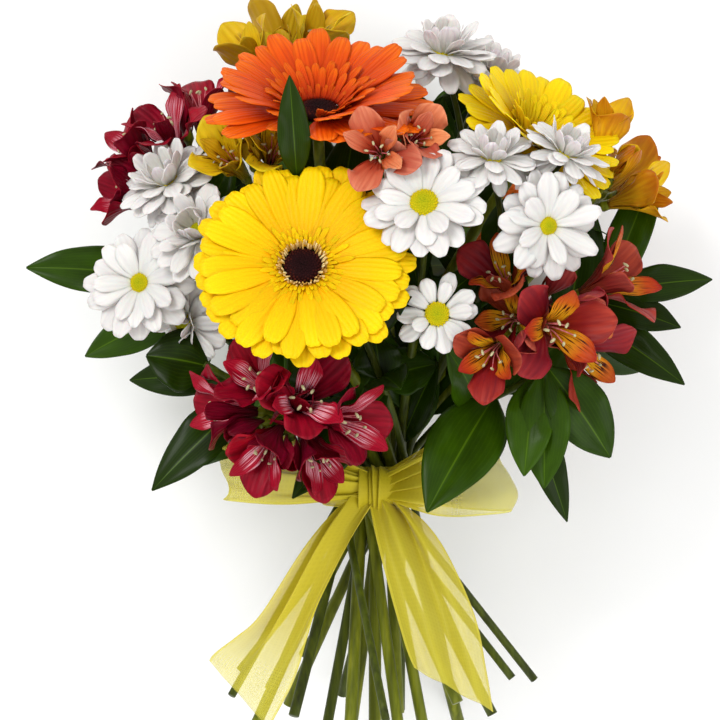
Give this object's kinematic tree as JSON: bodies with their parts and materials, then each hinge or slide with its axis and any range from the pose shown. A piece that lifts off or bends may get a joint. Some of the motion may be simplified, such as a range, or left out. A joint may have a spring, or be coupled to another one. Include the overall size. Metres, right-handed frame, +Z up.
{
  "type": "mixed flower bouquet",
  "caption": "Hand-tied mixed bouquet of gerberas, daisies, alstroemerias and glossy leaves, spiralled stems bound and tied with an organza bow, lying on its back.",
  "frame": {"origin": "centre of the bounding box's underside, on the table the bouquet lies on", "axes": "+Y from the cut stem ends to the flower heads, +Z up, +X to the right seen from above with the heads at the top"},
  "size_m": [0.342, 0.3798, 0.2064],
  "materials": {
    "yellow_petals": "satin, finely ribbed fresh petal, bright yellow",
    "orange_petals": "satin, finely ribbed fresh petal, orange",
    "gerbera_eye": "matt velvety disc of dark brown florets",
    "white_petals": "satin fresh petal, white",
    "red_tepals": "satin fresh tepal, deep red with pale streaks",
    "coral_tepals": "satin fresh tepal, red-orange with a yellow lip",
    "salmon_tepals": "satin fresh tepal, salmon orange",
    "gold_tepals": "satin fresh tepal, golden yellow with brown dashes",
    "stems": "fresh green stem, semi-gloss",
    "leaves": "glossy deep green leaf",
    "ribbon": "sheer yellow-green organza with a soft sheen",
    "twine": "matt natural twine"
  },
  "bodies": {
    "root": {"binding_twine": "twine", "daisy_back_1_petals": "white_petals", "daisy_back_2_petals": "white_petals", "daisy_back_spray": "stems", "daisy_centre_1_petals": "white_petals", "daisy_centre_2_petals": "white_petals", "daisy_centre_spray": "stems", "daisy_left_1_petals": "white_petals", "daisy_left_2_petals": "white_petals", "daisy_left_3_petals": "white_petals", "daisy_left_4_petals": "white_petals", "daisy_left_spray": "stems", "daisy_right_1_petals": "white_petals", "daisy_right_2_petals": "white_petals", "daisy_right_3_petals": "white_petals", "daisy_right_spray": "stems", "daisy_top_1_petals": "white_petals", "daisy_top_2_petals": "white_petals", "daisy_top_spray": "stems", "gerbera_back_eye": "gerbera_eye", "gerbera_back_petals": "orange_petals", "gerbera_back_stem": "stems", "gerbera_front_eye": "gerbera_eye", "gerbera_front_petals": "yellow_petals", "gerbera_front_stem": "stems", "gerbera_right_eye": "gerbera_eye", "gerbera_right_petals": "yellow_petals", "gerbera_right_stem": "stems", "gerbera_top_eye": "gerbera_eye", "gerbera_top_petals": "orange_petals", "gerbera_top_stem": "stems", "greenery_back_left": "leaves", "greenery_back_right": "leaves", "greenery_front": "leaves", "greenery_left": "leaves", "greenery_lower_left": "leaves", "greenery_lower_right": "leaves", "greenery_right": "leaves", "lily_coral_right_florets": "coral_tepals", "lily_coral_right_stem": "stems", "lily_gold_right_florets": "gold_tepals", "lily_gold_right_stem": "stems", "lily_red_back_florets": "red_tepals", "lily_red_back_stem": "stems", "lily_red_front_florets": "red_tepals", "lily_red_front_stem": "stems", "lily_red_left_florets": "red_tepals", "lily_red_left_stem": "stems", "lily_salmon_florets": "salmon_tepals", "lily_salmon_stem": "stems", "lily_yellow_left_florets": "gold_tepals", "lily_yellow_left_stem": "stems", "lily_yellow_top_florets": "gold_tepals", "lily_yellow_top_stem": "stems", "ribbon_bow": "ribbon"}
  },
  "joints": []
}
